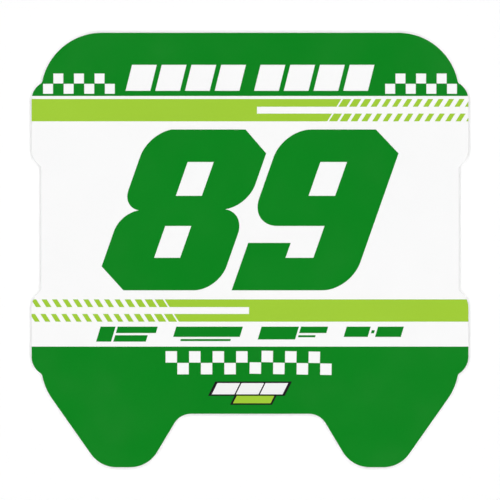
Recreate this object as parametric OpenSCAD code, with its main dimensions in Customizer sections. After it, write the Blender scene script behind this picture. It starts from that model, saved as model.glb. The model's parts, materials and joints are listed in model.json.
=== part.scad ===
// Racing number board: one flat rigid board that carries a race number.
// Its colours are thin films laid on the white face, each cut to its own shape: two dark
// panels, two light stripes, the two numerals, a row of small marks and a badge.
// The board lies on its back. X runs across it, Y up the board and Z out of its face.
// The origin is the middle of the board's back, and lengths are in millimetres.

/* [Board] */
// Width of the board across its ears
board_w = 240; // [225:0.5:280]
// Height of the board, from the top edge to the feet
board_h = 238.7; // [230:0.1:260]
// Thickness of the board
board_t = 3; // [2:0.1:6]
// How far the waist and the corners stand in from the ears
waist_depth = 5.2; // [3.5:0.1:9]
// Radius of the two top corners
top_r = 33.5; // [28:0.5:40]

/* [Ears] */
// Height of each of the four ears
ear_h = 49; // [36:0.5:56]
// Radius of the ears' outer corners
ear_r = 11; // [7:0.5:16]
// Radius of the hollow where an ear meets the side
ear_fillet_r = 2; // [1:0.1:3.5]
// From the board's top edge down to the upper ears
upper_ear_drop = 26.2; // [22:0.1:32]
// From the feet up to the lower ears
lower_ear_rise = 49.8; // [46:0.1:56]

/* [Feet] */
// Radius of the hips, where the sides turn in towards the feet
hip_r = 33.5; // [26:0.5:38]
// Height of the hips' centres above the feet
hip_rise = 56.9; // [52:0.1:60]
// Lean of the feet's outer sides, from upright
side_lean = 35.1; // [32:0.1:38]
// Radius of the feet's corners
foot_r = 17.4; // [12:0.1:19]
// Width of the notch between the feet, at its top
notch_w = 76.6; // [60:0.1:84]
// Height of the notch between the feet
notch_h = 29.3; // [24:0.1:33]
// Lean of the notch's sides, from upright
notch_lean = 30.9; // [24:0.1:34]
// Radius of the notch's two top corners
notch_r = 10.5; // [4:0.1:14]

/* [Films] */
// Thickness of each film
film_t = 0.2; // [0.1:0.05:0.5]
// Bare rim of the board outside the films
film_rim = 0.2; // [0.1:0.05:1.5]
// Film left standing between the corners of two checks
check_web = 0.15; // [0.1:0.05:0.5]

/* [Numerals] */
// Height of the numerals
number_h = 88.2; // [80:0.1:94]
// Width of the eight, measured along its foot
number_w = 68.5; // [62:0.1:76]
// Width of the nine, measured along its foot
nine_w = 67.8; // [62:0.1:76]
// Gap between the two numerals
number_gap = 4.8; // [3:0.1:9]
// How far the gap between the numerals stands right of the board's middle
number_shift = 0.4; // [-3:0.1:3]
// Height of the numerals' middle above the board's middle
number_rise = 22; // [19:0.1:24]
// Slant of the numerals, in run per rise
number_slant = 0.351; // [0.2:0.001:0.4]
// Width of the eight's upright strokes
stem_w = 27.1; // [22:0.1:29]
// Width of the nine's upright strokes
nine_stem_w = 26.6; // [22:0.1:29]
// Thickness of the strokes along the top and the bottom
bar_t = 17.8; // [14:0.1:20]
// Thickness of the stroke across the middle
waist_bar_t = 16.5; // [12:0.1:19]
// Height of the middle stroke's lower edge above the foot
waist_bar_rise = 35.3; // [31:0.1:38]
// Width of the eight's cut-off top corner
cut_w = 15.9; // [10:0.1:20]
// Width of the eight's cut-off foot corner
foot_cut_w = 16.5; // [10:0.1:20]
// Width of the nine's cut-off top corner
nine_cut_w = 17; // [10:0.1:20]
// Height of the cut-off corners
cut_h = 13.1; // [9:0.1:16]
// Radius of the numerals' round corners
number_r = 15.3; // [12:0.1:17]
// Distance along the top at which the eight's round shoulder starts
shoulder_w = 11.8; // [8:0.1:11.8]
// Depth of the eight's pinch on the left
left_pinch = 9.6; // [6:0.1:9.6]
// Radius of the lobes beside the left pinch
left_pinch_r = 11.5; // [9.6:0.1:14]
// Height of the left pinch above the middle of the middle stroke
left_pinch_rise = 0.3; // [-1.5:0.1:1.5]
// Depth of the eight's pinch on the right
right_pinch = 11.8; // [7:0.1:13]
// Radius of the lobes beside the right pinch
right_pinch_r = 13.8; // [13.2:0.1:15]
// Height of the right pinch above the middle of the middle stroke
right_pinch_rise = 0.9; // [-1.5:0.1:1.5]
// Inset of the nine's tail from its left side
tail_inset = 2.6; // [0:0.1:8]
// Width of the nine's tail
tail_w = 23.3; // [16:0.1:26]
// Height of the nine's tail above its lower stroke
tail_rise = 8.2; // [4:0.1:14]

/* [Stripes] */
// White left between the numerals and the upper stripe
gap_above = 4.5; // [3:0.1:6]
// White left between the numerals and the lower stripe
gap_below = 5; // [3:0.1:6]
// Height of a stripe
stripe_h = 12.2; // [10:0.1:13]
// Height of the white slot along a stripe
slot_h = 3.8; // [2:0.1:5]
// Length of the slot before the slanted bars begin
slot_len = 42.4; // [30:0.1:55]
// Start of the upper stripe's slot, right of the middle
upper_slot_x = 3.8; // [0:0.1:15]
// Start of the lower stripe's slot, left of the middle
lower_slot_x = 0.5; // [0:0.1:15]
// Slant of the bars, in run per rise
bar_slant = 0.638; // [0.4:0.001:0.8]
// Distance from one bar to the next
bar_pitch = 5.72; // [5.4:0.01:8]
// White left between the end of the solid stripe and the first bar
bar_gap = 1; // [0.5:0.1:3]
// Width of the first bar
first_bar_w = 4.5; // [3.4:0.05:4.8]
// Loss of width from one bar to the next
bar_step = 0.43; // [0.1:0.01:0.6]
// Width of the narrowest bars
last_bar_w = 2.78; // [2:0.01:3.3]

/* [Panels] */
// White line between the upper stripe and the top panel
panel_gap = 1.7; // [0.8:0.1:3]
// White band between the lower stripe and the bottom panel
mark_band_h = 13.7; // [12:0.1:16]
// Checks along one strip
check_count = 7; // [3:1:9]
// Side of a check in the top panel
small_check = 5.65; // [4.5:0.05:6]
// From the board's rounded edge in to the top panel's outermost check
small_check_inset = 0.75; // [0.4:0.05:8]
// Height of the top panel's checks above its lower edge
small_check_rise = 1.1; // [0.6:0.1:3]
// Side of a check in the bottom panel
large_check = 6.45; // [5:0.05:7]
// Depth of the bottom panel's checks below its upper edge
large_check_drop = 2.4; // [1.5:0.1:3.5]
// Gap between the two strips of the bottom panel
strip_gap = 1; // [0.6:0.1:4]
// How far the bottom panel's strips stand left of the middle
strip_shift = 0.75; // [0:0.05:3]
// Turn of the right strip of the bottom panel
strip_turn = -0.94; // [-2:0.01:2]

/* [Name bar] */
// Blocks in each half of the name bar
name_count = 4; // [2:1:4]
// Width of one block
name_block_w = 13.6; // [8:0.1:14.5]
// Height of the blocks
name_h = 14.3; // [8:0.1:15]
// Gap between two blocks
name_gap = 2.7; // [1.5:0.1:3.5]
// Gap between the two halves
name_middle_gap = 8; // [4:0.1:10]
// Height of the blocks above the top panel's lower edge
name_rise = 2.8; // [1.5:0.1:5]
// Slant of the blocks, in run per rise
name_slant = 0.25; // [0:0.01:0.4]

/* [Small marks] */
// Height of the tallest mark
mark_h = 8.2; // [7:0.1:10]
// Height of a mark's bold bar
mark_bar_h = 5.6; // [4:0.1:5.8]
// Height of a mark's thin line
mark_line_h = 1.1; // [0.6:0.1:1.3]
// White left between the pieces of a mark
mark_gap = 1.2; // [0.8:0.1:1.5]
// Width of the two inner marks
inner_mark_w = 39; // [30:0.1:42]
// Width of the two outer marks
outer_mark_w = 33.8; // [26:0.1:38]
// Distance from the board's middle to the middle of an inner mark
inner_mark_x = 23.4; // [21.5:0.1:25]
// Distance from the board's middle to the middle of an outer mark
outer_mark_x = 67.5; // [64:0.1:74]
// Slant of the marks, in run per rise
mark_slant = 0.3; // [0:0.01:0.5]

/* [Badge] */
// Width of the backing of the badge's upper row
badge_w = 42; // [34:0.1:46]
// Height of the backing of the badge's upper row
badge_h = 7.8; // [6.5:0.1:9]
// Width of the backing of the badge's lower row
badge_tab_w = 23; // [16:0.1:28]
// Height of the backing of the badge's lower row
badge_tab_h = 4.9; // [4:0.1:6]
// How far the badge's lower row stands to the right
badge_tab_shift = 2; // [0:0.1:6]
// Dark edge of the backing round the rows
badge_edge = 0.8; // [0.5:0.1:1.2]
// Blocks in the badge's upper row
badge_count = 3; // [1:1:5]
// Height of the badge above the notch
badge_rise = 5.2; // [3:0.1:8]
// Slant of the badge, in run per rise
badge_slant = 0.5; // [0:0.01:0.7]

/* [Hidden] */

GREEN = [0.06, 0.51, 0.13];
LIME = [0.64, 0.80, 0.23];
WHITE = [0.97, 0.97, 0.97];
BLACK = [0.08, 0.08, 0.09];

UP = [0, 1];
DOWN = [0, -1];
LEFT = [-1, 0];
RIGHT = [1, 0];

// Largest distance between a round edge and its true arc
chord_error = 0.015;

// Edges of the board
side_x = board_w / 2;
waist_x = side_x - waist_depth;
top_y = board_h / 2;
foot_y = -board_h / 2;
notch_y = foot_y + notch_h;
upper_ear_y = top_y - upper_ear_drop;
lower_ear_y = foot_y + lower_ear_rise;

// Levels at which the films lie
face_z = board_t;
second_z = face_z + film_t;
third_z = second_z + film_t;

// Heights of the graphics, counted outwards from the numerals
number_foot_y = number_rise - number_h / 2;
number_top_y = number_rise + number_h / 2;
upper_stripe_y = number_top_y + gap_above;
lower_stripe_y = number_foot_y - gap_below - stripe_h;
top_panel_y = upper_stripe_y + stripe_h + panel_gap;
bottom_panel_y = lower_stripe_y - mark_band_h;
mark_foot_y = lower_stripe_y - (mark_band_h + mark_h) / 2;
badge_seam_y = notch_y + badge_rise + badge_tab_h;

function unit(v) = v / norm(v);

function reversed(points) = [for (i = [len(points) - 1 : -1 : 0]) points[i]];

// The same points seen in a mirror on the Y axis, in the order that keeps the outline's turn
function mirrored(points) = [for (p = reversed(points)) [-p.x, p.y]];

// The points without any that repeats the one before it
function distinct(points) =
    let (count = len(points))
    [for (i = [0 : count - 1])
        if (norm(points[i] - points[(i + count - 1) % count]) > 0.001)
            points[i]];

// Points of the arc about c, of radius r, from direction a to direction b the short way
function bend(c, r, a, b) =
    let (
        start = atan2(a.y, a.x),
        raw = atan2(b.y, b.x) - start,
        turn = raw - 360 * round(raw / 360),
        steps = max(2, ceil(abs(turn) / (2 * acos(1 - chord_error / r))))
    )
    [for (i = [0 : steps])
        let (angle = start + turn * i / steps)
        c + r * [cos(angle), sin(angle)]];

// Points that round the corner p, between its neighbours a and b, with radius r
function corner(a, p, b, r) =
    let (
        u = unit(a - p),
        v = unit(b - p),
        half = acos(u * v) / 2,
        c = p + unit(u + v) * r / sin(half),
        to_tangent = r / tan(half)
    )
    bend(c, r, p + u * to_tangent - c, p + v * to_tangent - c);

// Points from tip to the upright line at x, along an arc of radius r that ends along the line;
// rise is 1 where the arc climbs and -1 where it falls
function lobe(tip, x, r, rise) =
    let (
        inward = sign(tip.x - x),
        depth = abs(tip.x - x),
        c = [x + inward * r, tip.y + rise * sqrt(pow(r, 2) - pow(r - depth, 2))]
    )
    bend(c, r, tip - c, [-inward, 0]);

// The point at distance r1 from c1 and r2 from c2; side is 1 right of the way from c1 to c2
// seen with the Y axis pointing up, and -1 left of it
function crossing(c1, r1, c2, r2, side) =
    let (
        u = unit(c2 - c1),
        d = norm(c2 - c1),
        along = (pow(r1, 2) - pow(r2, 2) + pow(d, 2)) / (2 * d)
    )
    c1 + along * u + side * sqrt(pow(r1, 2) - pow(along, 2)) * [u.y, -u.x];

// Centres of the big arcs on the left half of the outline
top_c = [-waist_x + top_r, top_y - top_r];
hip_c = [-waist_x + hip_r, foot_y + hip_rise];

// Centres of the left ears' corner arcs, from the top down
ear_x = -side_x + ear_r;
ear_1 = [ear_x, upper_ear_y - ear_r];
ear_2 = [ear_x, upper_ear_y - ear_h + ear_r];
ear_3 = [ear_x, lower_ear_y + ear_h - ear_r];
ear_4 = [ear_x, lower_ear_y + ear_r];

// Centres of the four hollows beside the left ears, from the top down
hollow_x = -waist_x - ear_fillet_r;
hollow_reach = ear_r + ear_fillet_r;
hollow_rise = sqrt(pow(hollow_reach, 2) - pow(hollow_x - ear_x, 2));
hollow_1 = crossing(top_c, top_r + ear_fillet_r, ear_1, hollow_reach, 1);
hollow_2 = [hollow_x, ear_2.y - hollow_rise];
hollow_3 = [hollow_x, ear_3.y + hollow_rise];
hollow_4 = crossing(hip_c, hip_r + ear_fillet_r, ear_4, hollow_reach, -1);

// Outward directions of the left foot's two leaning sides
foot_outward = [-cos(side_lean), -sin(side_lean)];
notch_outward = [cos(notch_lean), -sin(notch_lean)];

// Where the left foot's two sides would reach the ground line if its corners were sharp;
// the outer side touches the hip
foot_outer_x = hip_c.x - (hip_r - sin(side_lean) * hip_rise) / cos(side_lean);
foot_inner_x = -notch_w / 2 - notch_h * tan(notch_lean);

// Radius of the feet's corners, no larger than both fit on the foot
side_tan = tan((90 + side_lean) / 2);
notch_tan = tan((90 + notch_lean) / 2);
foot_w = foot_inner_x - foot_outer_x;
foot_round = min(foot_r, foot_w / (1 / side_tan + 1 / notch_tan));

// Centres of the foot's two corners and of the notch's corner
foot_outer_c = [foot_outer_x + foot_round / side_tan, foot_y + foot_round];
foot_inner_c = [foot_inner_x - foot_round / notch_tan, foot_y + foot_round];
notch_c = [-notch_w / 2 + notch_r / notch_tan, notch_y - notch_r];

// Left half of the outline, from the middle of the top to the notch, set in by d
function left_outline(d) =
    let (
        top = top_r - d,
        ear = ear_r - d,
        hollow = ear_fillet_r + d,
        hip = hip_r - d,
        foot = foot_round - d
    )
    concat(
        bend(top_c, top, UP, hollow_1 - top_c),
        bend(hollow_1, hollow, top_c - hollow_1, ear_1 - hollow_1),
        bend(ear_1, ear, hollow_1 - ear_1, LEFT),
        bend(ear_2, ear, LEFT, hollow_2 - ear_2),
        bend(hollow_2, hollow, ear_2 - hollow_2, RIGHT),
        bend(hollow_3, hollow, RIGHT, ear_3 - hollow_3),
        bend(ear_3, ear, hollow_3 - ear_3, LEFT),
        bend(ear_4, ear, LEFT, hollow_4 - ear_4),
        bend(hollow_4, hollow, ear_4 - hollow_4, hip_c - hollow_4),
        bend(hip_c, hip, hollow_4 - hip_c, foot_outward),
        bend(foot_outer_c, foot, foot_outward, DOWN),
        bend(foot_inner_c, foot, DOWN, notch_outward),
        bend(notch_c, notch_r + d, -notch_outward, UP)
    );

// The whole outline of the board, set in by d
module outline(d = 0) {
    left = left_outline(d);
    polygon(distinct(concat(left, mirrored(left))));
}

// A band right across the board between two heights
module band(y0, y1) {
    translate([-board_w, y0]) square([2 * board_w, y1 - y0]);
}

// A box drawn upright from x0 to x1 and y0 to y1, then leant over about y 0
module leant_box(x0, x1, y0, y1, slant) {
    low = slant * y0;
    high = slant * y1;
    polygon([[x0 + low, y0], [x1 + low, y0], [x1 + high, y1], [x0 + high, y1]]);
}

// A film cut to a flat shape and laid at height z
module film(z = face_z) {
    translate([0, 0, z]) linear_extrude(film_t) children();
}

// White squares of a two-row check strip; the first square is in row first_row
module checks(side, first_row) {
    for (i = [0 : check_count - 1]) {
        row = (i + first_row) % 2;
        translate([i * side + check_web / 2, row * side + check_web / 2])
            square(side - check_web);
    }
}

// The bare board
module board() {
    color(WHITE) linear_extrude(board_t) outline();
}

// Two groups of plain slanted blocks, where a name would stand
module name_blocks() {
    pitch = name_block_w + name_gap;
    group_w = name_count * pitch - name_gap;
    run = name_slant * name_h;
    for (start = [-group_w - name_middle_gap / 2, name_middle_gap / 2]) {
        for (i = [0 : name_count - 1]) {
            translate([start + i * pitch - run / 2, top_panel_y + name_rise])
                leant_box(0, name_block_w, 0, name_h, name_slant);
        }
    }
}

// Check strip at the left end of the top panel, set in from the rounded corner beside it
module top_checks() {
    y = top_panel_y + small_check_rise;
    climb = max(0, y + small_check - top_c.y);
    edge_x = top_c.x - sqrt(pow(top_r, 2) - pow(climb, 2));
    translate([edge_x + small_check_inset, y]) checks(small_check, 0);
}

// The panel above the upper stripe, with its checks and the name blocks cut out
module top_panel() {
    color(GREEN) film() difference() {
        intersection() {
            outline(film_rim);
            band(top_panel_y, top_y);
        }
        top_checks();
        mirror([1, 0]) top_checks();
        name_blocks();
    }
}

// The two check strips below the marks; the right one is turned about its own middle
module bottom_checks() {
    strip_w = check_count * large_check;
    mid_y = bottom_panel_y - large_check_drop - large_check;
    translate([-strip_shift - strip_gap / 2 - strip_w, mid_y - large_check])
        checks(large_check, 1);
    translate([-strip_shift + strip_gap / 2 + strip_w / 2, mid_y])
        rotate(strip_turn)
            translate([-strip_w / 2, -large_check])
                checks(large_check, 0);
}

// The panel over the feet, with its checks cut out
module bottom_panel() {
    color(GREEN) film() difference() {
        intersection() {
            outline(film_rim);
            band(foot_y, bottom_panel_y);
        }
        bottom_checks();
    }
}

// A stripe with its foot at y0: solid at the left, slotted right of slot_x, then slanted bars
module stripe(y0, slot_x) {
    solid_end = slot_x + slot_len - bar_slant * stripe_h / 2;
    first_bar = solid_end + bar_gap + first_bar_w / 2;
    last = ceil((side_x - first_bar) / bar_pitch);
    intersection() {
        outline(film_rim);
        difference() {
            translate([0, y0]) {
                leant_box(-2 * board_w, solid_end, 0, stripe_h, bar_slant);
                for (i = [0 : last]) {
                    x = first_bar + i * bar_pitch;
                    half_w = max(last_bar_w, first_bar_w - i * bar_step) / 2;
                    leant_box(x - half_w, x + half_w, 0, stripe_h, bar_slant);
                }
            }
            translate([slot_x, y0 + (stripe_h - slot_h) / 2])
                square([board_w, slot_h]);
        }
    }
}

module upper_stripe() {
    color(LIME) film() stripe(upper_stripe_y, upper_slot_x);
}

module lower_stripe() {
    color(LIME) film() mirror([1, 0]) stripe(lower_stripe_y, lower_slot_x);
}

// Points of a numeral, drawn upright from its lower left corner, leant over and put at x
function leant(points, x) =
    [for (p = distinct(points))
        [x + p.x + number_slant * (p.y - number_h / 2), p.y + number_foot_y]];

// Upright corners of the window in a numeral of width w, between its upright strokes of width
// stem, from height y0 to y1
function window(w, stem, y0, y1) =
    [[stem, y0], [w - stem, y0], [w - stem, y1], [stem, y1]];

waist_bar_y = waist_bar_rise + waist_bar_t;
waist_mid_y = waist_bar_rise + waist_bar_t / 2;
left_tip = [left_pinch, waist_mid_y + left_pinch_rise];
right_tip = [number_w - right_pinch, waist_mid_y + right_pinch_rise];
eight_x = number_shift - number_gap / 2 - number_w;
nine_x = number_shift + number_gap / 2;

// Upright outline of the eight, from its lower left round to the right
eight_outline = concat(
    [[0, cut_h], [foot_cut_w, 0]],
    corner([0, 0], [number_w, 0], [number_w, number_h], number_r - 2),
    reversed(lobe(right_tip, number_w, right_pinch_r, -1)),
    lobe(right_tip, number_w, right_pinch_r, 1),
    [[number_w, number_h - cut_h], [number_w - cut_w, number_h]],
    lobe([shoulder_w, number_h], 0, number_r, -1),
    reversed(lobe(left_tip, 0, left_pinch_r, 1)),
    lobe(left_tip, 0, left_pinch_r, -1)
);

// Upright outline of the nine, from its tail round to the right
nine_outline = concat(
    [[tail_inset, 0]],
    corner([0, 0], [nine_w, 0], [nine_w, number_h], number_r),
    [[nine_w, number_h - cut_h], [nine_w - nine_cut_w, number_h]],
    corner([nine_w, number_h], [0, number_h], [0, 0], number_r),
    corner([0, number_h], [0, waist_bar_rise], [nine_w, waist_bar_rise], number_r),
    [
        [nine_w - nine_stem_w, waist_bar_rise],
        [nine_w - nine_stem_w, bar_t],
        [tail_inset + tail_w, bar_t],
        [tail_inset + tail_w, bar_t + tail_rise],
        [tail_inset, bar_t + tail_rise]
    ]
);

module number_eight() {
    color(GREEN) film() difference() {
        polygon(leant(eight_outline, eight_x));
        polygon(leant(window(number_w, stem_w, bar_t, waist_bar_rise), eight_x));
        polygon(leant(window(number_w, stem_w, waist_bar_y, number_h - bar_t), eight_x));
    }
}

module number_nine() {
    color(GREEN) film() difference() {
        polygon(leant(nine_outline, nine_x));
        polygon(leant(window(nine_w, nine_stem_w, waist_bar_y, number_h - bar_t), nine_x));
    }
}

// One piece of a mark
module mark_box(x0, x1, y0, y1) {
    leant_box(x0, x1, y0, y1, mark_slant);
}

// A tile with two lines beside it; w is the mark's width along its foot
module tile_mark(w) {
    line_h = (mark_h - mark_gap) / 2;
    x = mark_h + mark_gap;
    mark_box(0, mark_h, 0, mark_h);
    mark_box(x, w - mark_h / 2, 0, line_h);
    mark_box(x, w, mark_h - line_h, mark_h);
}

// A bold bar over a shorter thin line
module lined_mark(w) {
    line_y = mark_h - mark_bar_h - mark_gap;
    mark_box(0, w, mark_h - mark_bar_h, mark_h);
    mark_box(w / 8, w * 7 / 8, line_y - mark_line_h, line_y);
}

// A tall bar, then a thinner one over a thin line
module stepped_mark(w) {
    split = w * 0.56;
    line_h = (mark_h - mark_gap) / 2;
    line_y = mark_h - line_h - mark_gap;
    mark_box(0, split, mark_gap, mark_h);
    mark_box(split + mark_gap, w, mark_h - line_h, mark_h);
    mark_box(split + mark_gap, w * 0.85, line_y - mark_line_h, line_y);
}

// Two bold bars with a dot between them
module dotted_mark(w) {
    split = w * 0.42;
    dot_x = split + mark_gap;
    dot_y = mark_h - mark_bar_h / 2;
    dot_w = 1.5 * mark_line_h;
    mark_box(0, split, mark_h - mark_bar_h, mark_h);
    mark_box(dot_x, dot_x + dot_w, dot_y - dot_w / 2, dot_y + dot_w / 2);
    mark_box(dot_x + dot_w + mark_gap, w, mark_h - mark_bar_h, mark_h);
}

// Four plain marks between the lower stripe and the bottom panel
module small_marks() {
    run = mark_slant * mark_h;
    inner_w = inner_mark_w - run;
    outer_w = outer_mark_w - run;
    color(GREEN) film() translate([-run / 2, mark_foot_y]) {
        translate([-outer_mark_x - outer_w / 2, 0]) tile_mark(outer_w);
        translate([-inner_mark_x - inner_w / 2, 0]) lined_mark(inner_w);
        translate([inner_mark_x - inner_w / 2, 0]) stepped_mark(inner_w);
        translate([outer_mark_x - outer_w / 2, 0]) dotted_mark(outer_w);
    }
}

// A row of the badge, w wide at its middle, between two heights above the seam
module badge_row(x, w, y0, y1) {
    mid = badge_slant * (y0 + y1) / 2;
    translate([x - mid, badge_seam_y]) leant_box(-w / 2, w / 2, y0, y1, badge_slant);
}

// The badge's dark backing: an upper row with a shorter one hung below it
module badge_backing() {
    color(BLACK) film(second_z) {
        badge_row(0, badge_w, 0, badge_h);
        badge_row(badge_tab_shift, badge_tab_w, -badge_tab_h, badge_edge);
    }
}

// White blocks in the badge's upper row
module badge_blocks() {
    row_w = badge_w - 4 * badge_edge;
    w = (row_w - (badge_count - 1) * badge_edge) / badge_count;
    color(WHITE) film(third_z) {
        for (i = [0 : badge_count - 1]) {
            x = (i - (badge_count - 1) / 2) * (w + badge_edge);
            badge_row(x, w, badge_edge, badge_h - badge_edge);
        }
    }
}

// Light bar in the badge's lower row
module badge_stripe() {
    color(LIME) film(third_z)
        badge_row(badge_tab_shift, badge_tab_w - 3 * badge_edge, badge_edge - badge_tab_h, 0);
}

board();
top_panel();
bottom_panel();
upper_stripe();
lower_stripe();
number_eight();
number_nine();
small_marks();
badge_backing();
badge_blocks();
badge_stripe();
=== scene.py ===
"""A racing number board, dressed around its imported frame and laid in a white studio.

The board is one moulded sheet. Its colours are cut films that lie on its face: two green
panels, two lime stripes, the two numerals, a row of small marks and a badge. Each piece
starts as a copy of its frame node, is cleaned and rounded here, and then stands for it.
All lengths are in metres.
"""

import json
import logging
import math
from dataclasses import dataclass
from enum import Enum

import bmesh
import bpy
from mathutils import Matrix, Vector

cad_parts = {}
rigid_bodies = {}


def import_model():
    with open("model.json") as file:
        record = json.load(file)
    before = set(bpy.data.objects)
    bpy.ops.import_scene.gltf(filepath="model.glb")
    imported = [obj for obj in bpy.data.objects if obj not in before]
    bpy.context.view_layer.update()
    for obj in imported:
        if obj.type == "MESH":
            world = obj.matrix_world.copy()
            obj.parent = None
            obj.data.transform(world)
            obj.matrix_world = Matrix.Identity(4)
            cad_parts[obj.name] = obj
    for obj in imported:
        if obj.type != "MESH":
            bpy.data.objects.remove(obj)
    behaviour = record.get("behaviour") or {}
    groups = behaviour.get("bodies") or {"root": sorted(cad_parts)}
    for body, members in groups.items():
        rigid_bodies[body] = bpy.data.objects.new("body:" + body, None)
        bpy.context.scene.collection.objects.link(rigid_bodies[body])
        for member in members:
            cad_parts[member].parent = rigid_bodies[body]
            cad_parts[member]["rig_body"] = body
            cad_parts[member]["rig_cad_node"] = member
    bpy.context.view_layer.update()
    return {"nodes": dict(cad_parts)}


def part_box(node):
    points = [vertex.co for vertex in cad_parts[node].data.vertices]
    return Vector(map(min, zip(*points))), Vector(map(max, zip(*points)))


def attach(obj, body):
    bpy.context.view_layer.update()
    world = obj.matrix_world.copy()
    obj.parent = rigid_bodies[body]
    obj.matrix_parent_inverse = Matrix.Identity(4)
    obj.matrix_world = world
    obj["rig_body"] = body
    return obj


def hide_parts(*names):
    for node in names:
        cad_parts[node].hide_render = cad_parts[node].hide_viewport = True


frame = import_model()

BODY = "root"

NOISE_LOW = 0.3
NOISE_HIGH = 0.7
LIGHTEST = 0.97
FULL_TURN = 360.0
QUARTER_TURN = 90.0

Colour = tuple[float, float, float]
Material = bpy.types.Material
Node = bpy.types.Node
Socket = bpy.types.NodeSocket
Piece = bpy.types.Object

log = logging.getLogger("number_board")


class Slot(Enum):
    """The record's material slots."""

    BOARD = "white_board"
    GREEN = "green_film"
    LIME = "lime_film"
    BLACK = "black_film"
    WHITE = "white_film"


class Rim(Enum):
    """The edges of a flat piece that are rounded."""

    FACE = "face"
    BOTH = "face and back"


class Layers(Enum):
    """How many finer layers lie over a noise's blobs."""

    PLAIN = 1
    SOFT = 2
    MIXED = 3
    ROUGH = 4


class Maths(Enum):
    """How two values make one."""

    ADD = "ADD"
    MULTIPLY = "MULTIPLY"
    LARGER = "MAXIMUM"


def grey(tone: float) -> Colour:
    """A colour without a tint."""
    return tone, tone, tone


def tinted(colour: Colour, factor: float) -> Colour:
    """A colour made lighter or darker by a factor, kept below full white."""
    return tuple(min(LIGHTEST, part * factor) for part in colour)


class NodeBench:
    """A new material and short ways to add nodes to it and join them."""

    def __init__(self, name: str) -> None:
        """Starts a material that holds nothing but its output.

        Args:
            name: The material's name.
        """
        self.material = bpy.data.materials.new(name)
        self.material.use_nodes = True
        self.tree = self.material.node_tree
        self.tree.nodes.clear()
        self.output = self.add("ShaderNodeOutputMaterial")
        self.place = self.add("ShaderNodeTexCoord").outputs["Object"]

    def add(self, kind: str) -> Node:
        """Adds a node, of the type that Blender calls by this name."""
        return self.tree.nodes.new(kind)

    def join(self, source: Socket, target: Socket) -> None:
        """Joins an output to an input."""
        self.tree.links.new(source, target)

    def noise(self, grain: float, layers: Layers) -> Socket:
        """Adds an even noise in the piece's own coordinates.

        Args:
            grain: Rough size of the noise's blobs.
            layers: How many finer layers lie over the blobs.

        Returns:
            The noise's value, about 0.5 on average.
        """
        node = self.add("ShaderNodeTexNoise")
        node.inputs["Scale"].default_value = 1 / grain
        node.inputs["Detail"].default_value = layers.value
        self.join(self.place, node.inputs["Vector"])
        return node.outputs["Fac"]

    def spread(self, value: Socket, low: float, high: float) -> Socket:
        """Spreads a noise over a range of values.

        Args:
            value: The noise.
            low: Result where the noise is weak.
            high: Result where the noise is strong.

        Returns:
            The value between low and high.
        """
        node = self.add("ShaderNodeMapRange")
        node.inputs["From Min"].default_value = NOISE_LOW
        node.inputs["From Max"].default_value = NOISE_HIGH
        node.inputs["To Min"].default_value = low
        node.inputs["To Max"].default_value = high
        self.join(value, node.inputs["Value"])
        return node.outputs["Result"]

    def blend(self, share: Socket, first: Colour, second: Colour) -> Socket:
        """Blends two colours by a noise.

        Args:
            share: The noise, 0 for the first colour and 1 for the second.
            first: One colour.
            second: The other colour.

        Returns:
            The blended colour.
        """
        node = self.add("ShaderNodeMix")
        node.data_type = "RGBA"
        node.inputs["A"].default_value = (*first, 1)
        node.inputs["B"].default_value = (*second, 1)
        self.join(share, node.inputs["Factor"])
        return node.outputs["Result"]

    def bump(self, height: Socket, depth: float, below: Socket | None = None) -> Socket:
        """Raises and lowers the surface by a noise.

        Args:
            height: The noise.
            depth: Height between the noise's 0 and 1.
            below: The normal of a coarser bump under this one, if there is one.

        Returns:
            The bumped normal.
        """
        node = self.add("ShaderNodeBump")
        node.inputs["Strength"].default_value = 1
        node.inputs["Distance"].default_value = depth
        self.join(height, node.inputs["Height"])
        if below is not None:
            self.join(below, node.inputs["Normal"])
        return node.outputs["Normal"]

    def combine(self, how: Maths, first: Socket, second: Socket | float) -> Socket:
        """Makes one value from two.

        Args:
            how: How the two make one.
            first: One value.
            second: The other value, or a plain number.

        Returns:
            The one value.
        """
        node = self.add("ShaderNodeMath")
        node.operation = how.value
        self.join(first, node.inputs[0])
        if isinstance(second, Socket):
            self.join(second, node.inputs[1])
        else:
            node.inputs[1].default_value = second
        return node.outputs["Value"]

    def show(self, shader: Socket) -> Material:
        """Ends the material in this shader and hands it over."""
        self.join(shader, self.output.inputs["Surface"])
        return self.material


@dataclass(frozen=True)
class Surface:
    """How a surface shines, and how its coarse and fine grain rise."""

    smooth: float
    dull: float
    shine_patch: float
    coarse_grain: float
    coarse_depth: float
    fine_grain: float
    fine_depth: float
    refraction: float

    def cover(self, bench: NodeBench, colour: Socket) -> Material:
        """Gives a colour this surface.

        Args:
            bench: The material's nodes.
            colour: The colour all over the piece.

        Returns:
            The finished material.
        """
        shader = bench.add("ShaderNodeBsdfPrincipled")
        bench.join(colour, shader.inputs["Base Color"])
        shine = bench.spread(bench.noise(self.shine_patch, Layers.ROUGH), self.smooth, self.dull)
        bench.join(shine, shader.inputs["Roughness"])
        coarse = bench.bump(bench.noise(self.coarse_grain, Layers.SOFT), self.coarse_depth)
        fine = bench.bump(bench.noise(self.fine_grain, Layers.PLAIN), self.fine_depth, coarse)
        bench.join(fine, shader.inputs["Normal"])
        shader.inputs["IOR"].default_value = self.refraction
        return bench.show(shader.outputs["BSDF"])


CLEAR_GLOSS = Surface(
    smooth=0.12, dull=0.2, shine_patch=0.03, coarse_grain=0.0016, coarse_depth=0.000009,
    fine_grain=0.00025, fine_depth=0.0000006, refraction=1.47,
)
MOULDED_SATIN = Surface(
    smooth=0.36, dull=0.5, shine_patch=0.02, coarse_grain=0.0011, coarse_depth=0.00001,
    fine_grain=0.0003, fine_depth=0.000003, refraction=1.49,
)


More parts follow.
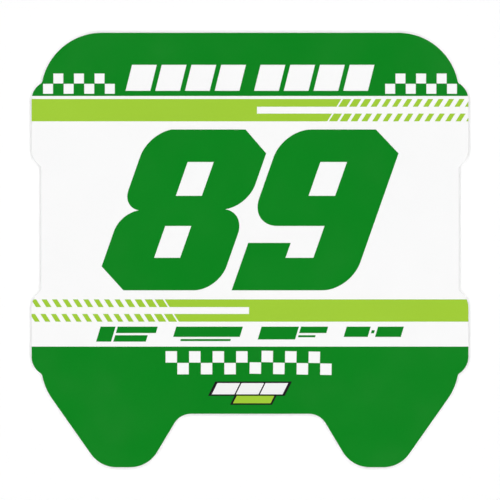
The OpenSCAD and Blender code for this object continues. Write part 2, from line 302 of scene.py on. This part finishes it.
@dataclass(frozen=True)
class FilmFinish:
    """Printed film under a clear gloss layer."""

    slot: Slot
    ink: Colour
    ink_drift: float = 0.02
    ink_patch: float = 0.045
    patch_share: float = 0.7
    dot_grain: float = 0.0007
    dot_share: float = 0.3
    surface: Surface = CLEAR_GLOSS

    @property
    def name(self) -> str:
        """The name of the finish's material."""
        return f"laminated_{self.slot.value}"

    def make(self) -> Material:
        """Makes the film's material.

        Returns:
            A gloss material with slightly uneven ink and the faint peel of laid film.
        """
        bench = NodeBench(self.name)
        light, dark = tinted(self.ink, 1 + self.ink_drift), tinted(self.ink, 1 - self.ink_drift)
        patches = bench.spread(bench.noise(self.ink_patch, Layers.SOFT), 0, self.patch_share)
        dots = bench.spread(bench.noise(self.dot_grain, Layers.PLAIN), 0, self.dot_share)
        colour = bench.blend(bench.combine(Maths.ADD, patches, dots), dark, light)
        return self.surface.cover(bench, colour)


@dataclass(frozen=True)
class BoardFinish:
    """Moulded plastic with a fine even grain."""

    slot: Slot
    plastic: Colour
    drift: float = 0.006
    patch: float = 0.06
    surface: Surface = MOULDED_SATIN

    @property
    def name(self) -> str:
        """The name of the finish's material."""
        return f"moulded_{self.slot.value}"

    def make(self) -> Material:
        """Makes the plastic's material.

        Returns:
            A satin material with a moulded grain.
        """
        bench = NodeBench(self.name)
        light, dark = tinted(self.plastic, 1 + self.drift), tinted(self.plastic, 1 - self.drift)
        tone = bench.spread(bench.noise(self.patch, Layers.MIXED), 0, 1)
        return self.surface.cover(bench, bench.blend(tone, dark, light))


@dataclass(frozen=True)
class PaperFinish:
    """White studio paper that takes the board's shadow and turns into the white of the page."""

    white: float = 1.0
    fibre_tone: float = 0.98
    fibre_grain: float = 0.0012
    fibre_depth: float = 0.00002
    dullness: float = 0.9
    near_r: float = 0.25
    near_share: float = 0.1
    far_r: float = 1.6
    far_share: float = 0.9
    mirror_share: float = 0.4

    def make(self) -> Material:
        """Makes the paper's material.

        Returns:
            A dull white material without gloss. Where the camera sees it, it is partly lit by
            itself, a little beside the board and nearly in full far from it, and less in gloss.
        """
        bench = NodeBench("studio_paper")
        paper = bench.add("ShaderNodeBsdfPrincipled")
        fibre = bench.noise(self.fibre_grain, Layers.MIXED)
        shade = bench.blend(bench.spread(fibre, 0, 1), grey(self.fibre_tone), grey(self.white))
        bench.join(shade, paper.inputs["Base Color"])
        bench.join(bench.bump(fibre, self.fibre_depth), paper.inputs["Normal"])
        paper.inputs["Roughness"].default_value = self.dullness
        paper.inputs["Specular IOR Level"].default_value = 0
        page = bench.add("ShaderNodeEmission")
        page.inputs["Strength"].default_value = 1
        share = bench.combine(Maths.MULTIPLY, self.seen_share(bench), self.page_share(bench))
        mix = bench.add("ShaderNodeMixShader")
        bench.join(share, mix.inputs["Fac"])
        bench.join(paper.outputs["BSDF"], mix.inputs[1])
        bench.join(page.outputs["Emission"], mix.inputs[2])
        return bench.show(mix.outputs["Shader"])

    def seen_share(self, bench: NodeBench) -> Socket:
        """Works out how far the paper is looked at, rather than lit or lighting.

        Args:
            bench: The paper's nodes.

        Returns:
            The share: all of what the camera sees, also through glass, and less in gloss.
        """
        path = bench.add("ShaderNodeLightPath")
        seen = bench.combine(Maths.MULTIPLY, path.outputs["Is Glossy Ray"], self.mirror_share)
        for ray in ("Is Camera Ray", "Is Transmission Ray"):
            seen = bench.combine(Maths.LARGER, seen, path.outputs[ray])
        return seen

    def page_share(self, bench: NodeBench) -> Socket:
        """Works out how much of the paper's look is plain page.

        Args:
            bench: The paper's nodes.

        Returns:
            The share, which rises with the distance from the board's middle.
        """
        away = bench.add("ShaderNodeVectorMath")
        away.operation = "LENGTH"
        bench.join(bench.place, away.inputs[0])
        rise = bench.add("ShaderNodeMapRange")
        rise.interpolation_type = "SMOOTHSTEP"
        rise.inputs["From Min"].default_value = self.near_r
        rise.inputs["From Max"].default_value = self.far_r
        rise.inputs["To Min"].default_value = self.near_share
        rise.inputs["To Max"].default_value = self.far_share
        bench.join(away.outputs["Value"], rise.inputs["Value"])
        return rise.outputs["Result"]


Films = tuple[tuple[str, FilmFinish], ...]

PLASTIC = BoardFinish(Slot.BOARD, plastic=grey(0.93))
GREEN = FilmFinish(Slot.GREEN, ink=(0.0, 0.222, 0.01))
LIME = FilmFinish(Slot.LIME, ink=(0.357, 0.607, 0.038))
BLACK = FilmFinish(Slot.BLACK, ink=(0.008, 0.008, 0.009))
WHITE = FilmFinish(Slot.WHITE, ink=grey(0.9), ink_drift=0.006)


def choose(piece: Piece) -> None:
    """Selects one object alone and makes it the active one.

    Args:
        piece: The object.
    """
    bpy.ops.object.select_all(action="DESELECT")
    piece.select_set(True)
    bpy.context.view_layer.objects.active = piece


def copy_node(node: str, name: str) -> Piece:
    """Copies a frame node as the start of a new piece.

    Args:
        node: The frame node's name.
        name: The new piece's name.

    Returns:
        The new piece, free of the node's body and material.
    """
    choose(frame["nodes"][node])
    bpy.ops.object.duplicate(linked=False)
    piece = bpy.context.object
    piece.name = piece.data.name = name
    bpy.ops.object.parent_clear(type="CLEAR_KEEP_TRANSFORM")
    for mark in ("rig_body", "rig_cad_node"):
        del piece[mark]
    piece.data.materials.clear()
    return piece


@dataclass
class CutSheet:
    """A flat piece with a rounded rim, worked up from its frame node, its turns in radians."""

    node: str
    name: str
    round_r: float
    round_steps: int
    rim: Rim = Rim.FACE

    same_place: float = 0.000001
    same_height: float = 0.00001
    flat_turn: float = math.radians(0.5)
    rim_turn: float = math.radians(60)
    smooth_turn: float = math.radians(35)

    def build(self) -> Piece:
        """Builds the piece: a clean closed mesh with its rim rounded.

        Returns:
            The finished piece, which stands for its node and rides on the body.
        """
        low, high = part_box(self.node)
        piece = copy_node(self.node, self.name)
        self.clean(piece)
        self.round_rim(piece, [high.z] if self.rim is Rim.FACE else [low.z, high.z])
        bpy.ops.object.shade_smooth_by_angle(angle=self.smooth_turn)
        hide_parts(self.node)
        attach(piece, BODY)
        return piece

    def clean(self, piece: Piece) -> None:
        """Merges the loose triangles and joins those that lie in one plane.

        Args:
            piece: The piece, which is left as the only one selected.
        """
        choose(piece)
        bpy.ops.object.mode_set(mode="EDIT")
        bpy.ops.mesh.select_all(action="SELECT")
        bpy.ops.mesh.customdata_custom_splitnormals_clear()
        bpy.ops.mesh.remove_doubles(threshold=self.same_place)
        bpy.ops.mesh.dissolve_limited(angle_limit=self.flat_turn)
        bpy.ops.object.mode_set(mode="OBJECT")

    def round_rim(self, piece: Piece, heights: list[float]) -> None:
        """Rounds the edges where the flat faces turn into the wall.

        Args:
            piece: The piece.
            heights: The heights of the flat faces whose edges are rounded.
        """
        bpy.ops.object.mode_set(mode="EDIT")
        bpy.ops.mesh.select_all(action="DESELECT")
        bpy.ops.mesh.select_mode(type="EDGE")
        mesh = bmesh.from_edit_mesh(piece.data)
        for edge in mesh.edges:
            turned = edge.is_manifold and edge.calc_face_angle(0) > self.rim_turn
            edge.select_set(turned and any(self.lies_at(edge, z) for z in heights))
        bmesh.update_edit_mesh(piece.data)
        bpy.ops.mesh.bevel(
            offset=self.round_r, segments=self.round_steps, affect="EDGES", clamp_overlap=True
        )
        bpy.ops.mesh.select_all(action="SELECT")
        bpy.ops.mesh.dissolve_degenerate(threshold=self.same_place)
        self.keep_faces_flat(piece)
        bpy.ops.object.mode_set(mode="OBJECT")

    def lies_at(self, edge: bmesh.types.BMEdge, z: float) -> bool:
        """Whether both ends of an edge lie at a height."""
        return all(abs(corner.co.z - z) < self.same_height for corner in edge.verts)

    def keep_faces_flat(self, piece: Piece) -> None:
        """Marks the border of each flat face sharp, so that the rounding doesn't shade it.

        Args:
            piece: The piece, in edit mode.
        """
        bpy.ops.mesh.select_all(action="DESELECT")
        bpy.ops.mesh.select_mode(type="FACE")
        mesh = bmesh.from_edit_mesh(piece.data)
        for face in mesh.faces:
            face.select_set(abs(face.normal.z) > math.cos(self.flat_turn))
        bmesh.update_edit_mesh(piece.data)
        bpy.ops.mesh.region_to_loop()
        bpy.ops.mesh.mark_sharp()


@dataclass
class DressedSheet:
    """A sheet and the finish that it wears."""

    sheet: CutSheet
    finish: FilmFinish | BoardFinish

    def make(self) -> Piece:
        """Builds the sheet, dresses it and reports it.

        Returns:
            The dressed piece.
        """
        piece = self.sheet.build()
        known = bpy.data.materials.get(self.finish.name)
        piece.data.materials.append(known or self.finish.make())
        log.info("%s: %d faces, %s", piece.name, len(piece.data.polygons), self.finish.slot.value)
        return piece


@dataclass
class Board:
    """The moulded board, rounded along its face and back."""

    edge_r: float = 0.0004
    edge_steps: int = 4

    def build(self) -> list[Piece]:
        """Builds and dresses the board, the only piece of its group."""
        sheet = CutSheet("board", "moulded_board", self.edge_r, self.edge_steps, Rim.BOTH)
        return [DressedSheet(sheet, PLASTIC).make()]


@dataclass
class FilmGroup:
    """Films that belong together, each named by its frame node and cut with one blade."""

    films: Films
    edge_r: float = 0.00005
    edge_steps: int = 2

    def build(self) -> list[Piece]:
        """Builds and dresses the films in the order in which they are laid."""
        return [self.lay(node, finish) for node, finish in self.films]

    def lay(self, node: str, finish: FilmFinish) -> Piece:
        """Builds and dresses the film that stands for a frame node."""
        sheet = CutSheet(node, f"{node}_film", self.edge_r, self.edge_steps)
        return DressedSheet(sheet, finish).make()


@dataclass
class Panels(FilmGroup):
    """The green films over the top and over the two feet."""

    films: Films = (("top_panel", GREEN), ("bottom_panel", GREEN))


@dataclass
class Stripes(FilmGroup):
    """The lime stripes over and under the number, slotted and broken into slanted bars."""

    films: Films = (("upper_stripe", LIME), ("lower_stripe", LIME))


@dataclass
class Numerals(FilmGroup):
    """The two big figures of the number."""

    films: Films = (("number_eight", GREEN), ("number_nine", GREEN))


@dataclass
class MarkRow(FilmGroup):
    """The row of small marks on the white band."""

    films: Films = (("small_marks", GREEN),)


@dataclass
class Badge(FilmGroup):
    """The small badge over the notch: a black backing under white blocks and a lime stripe."""

    films: Films = (("badge_backing", BLACK), ("badge_blocks", WHITE), ("badge_stripe", LIME))


@dataclass(frozen=True)
class SoftLamp:
    """A square soft box that looks at the middle of the board, its angles in degrees."""

    name: str
    azimuth: float
    elevation: float = 58.0
    distance: float = 2.0
    side: float = 0.8
    watts: float = 10.85

    def hang(self) -> None:
        """Hangs the lamp in its place."""
        turn, rise = math.radians(self.azimuth), math.radians(self.elevation)
        level = math.cos(rise)
        away = Vector((math.sin(turn) * level, -math.cos(turn) * level, math.sin(rise)))
        bpy.ops.object.light_add(type="AREA", location=away * self.distance)
        lamp = bpy.context.object
        lamp.name = self.name
        lamp.rotation_euler = away.to_track_quat("Z", "Y").to_euler()
        lamp.data.shape = "SQUARE"
        lamp.data.size = self.side
        lamp.data.energy = self.watts
        lamp.visible_camera = False


@dataclass
class Studio:
    """The paper cove that the board lies in, its soft light and the camera above it."""

    floor_z: float = -0.00005
    floor_r: float = 3.0
    cove_r: float = 0.9
    wall_h: float = 0.8
    cove_steps: int = 10
    round_steps: int = 96
    sky: float = 0.11
    lamps: int = 4
    first_azimuth: float = 45.0
    lens: float = 135.0
    sensor: float = 36.0
    board_share: float = 0.875

    def build(self) -> None:
        """Builds the cove, the light and the camera."""
        self.lay_paper()
        self.light()
        self.set_camera()

    def lay_paper(self) -> None:
        """Lays a round paper floor that curves up into a low wall."""
        bpy.ops.object.select_all(action="DESELECT")
        bpy.ops.mesh.primitive_circle_add(
            vertices=self.round_steps, radius=self.floor_r, fill_type="NGON",
            location=(0, 0, self.floor_z),
        )
        paper = bpy.context.object
        paper.name = "studio_paper"
        bpy.ops.object.mode_set(mode="EDIT")
        bpy.ops.mesh.select_mode(type="EDGE")
        bpy.ops.mesh.select_all(action="SELECT")
        bpy.ops.mesh.region_to_loop()
        self.curl_up()
        self.grow_wall(self.wall_h, 1)
        bpy.ops.mesh.select_all(action="SELECT")
        bpy.ops.mesh.normals_make_consistent(inside=True)
        bpy.ops.object.mode_set(mode="OBJECT")
        bpy.ops.object.shade_smooth()
        paper.data.materials.append(PaperFinish().make())
        log.info("%s: %d faces", paper.name, len(paper.data.polygons))

    def curl_up(self) -> None:
        """Curls the paper's open edge up from level to upright, in short straight steps."""
        radius = self.floor_r
        turns = [math.radians(QUARTER_TURN * i / self.cove_steps) for i in range(self.cove_steps + 1)]
        for before, lean in zip(turns, turns[1:]):
            out = self.cove_r * (math.sin(lean) - math.sin(before))
            rise = self.cove_r * (math.cos(before) - math.cos(lean))
            self.grow_wall(rise, (radius + out) / radius)
            radius += out

    def grow_wall(self, rise: float, widen: float) -> None:
        """Extrudes the paper's open edge upwards and widens it."""
        bpy.ops.mesh.extrude_edges_move(TRANSFORM_OT_translate={"value": (0, 0, rise)})
        bpy.ops.transform.resize(value=(widen, widen, 1), center_override=(0, 0, 0))

    def light(self) -> None:
        """Hangs the even soft boxes round the board and sets a faint even sky."""
        for turn in range(self.lamps):
            azimuth = self.first_azimuth + FULL_TURN * turn / self.lamps
            SoftLamp(f"soft_box_{turn + 1}", azimuth).hang()
        world = bpy.data.worlds.new("studio_sky")
        world.use_nodes = True
        sky = world.node_tree.nodes["Background"]
        sky.inputs["Color"].default_value = (*grey(1), 1)
        sky.inputs["Strength"].default_value = self.sky
        bpy.context.scene.world = world

    def set_camera(self) -> None:
        """Hangs the camera straight above the board's middle, level with its edges."""
        low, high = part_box("board")
        picture_w = (high.x - low.x) / self.board_share
        height = high.z + picture_w * self.lens / self.sensor
        bpy.ops.object.camera_add(location=(0, 0, height), rotation=(0, 0, 0))
        camera = bpy.context.object
        camera.name = "copy_camera"
        camera.data.lens = self.lens
        camera.data.sensor_width = self.sensor
        bpy.context.scene.camera = camera


def main() -> None:
    """Builds the board, its films and the studio, in that order."""
    logging.basicConfig(level=logging.INFO, format="%(name)s: %(message)s")
    for group in (Board(), Panels(), Stripes(), Numerals(), MarkRow(), Badge()):
        made = group.build()
        log.info("%s: %s", type(group).__name__, ", ".join(piece.name for piece in made))
    Studio().build()
    bpy.context.scene.view_settings.view_transform = "Standard"


if __name__ == "__main__":
    main()
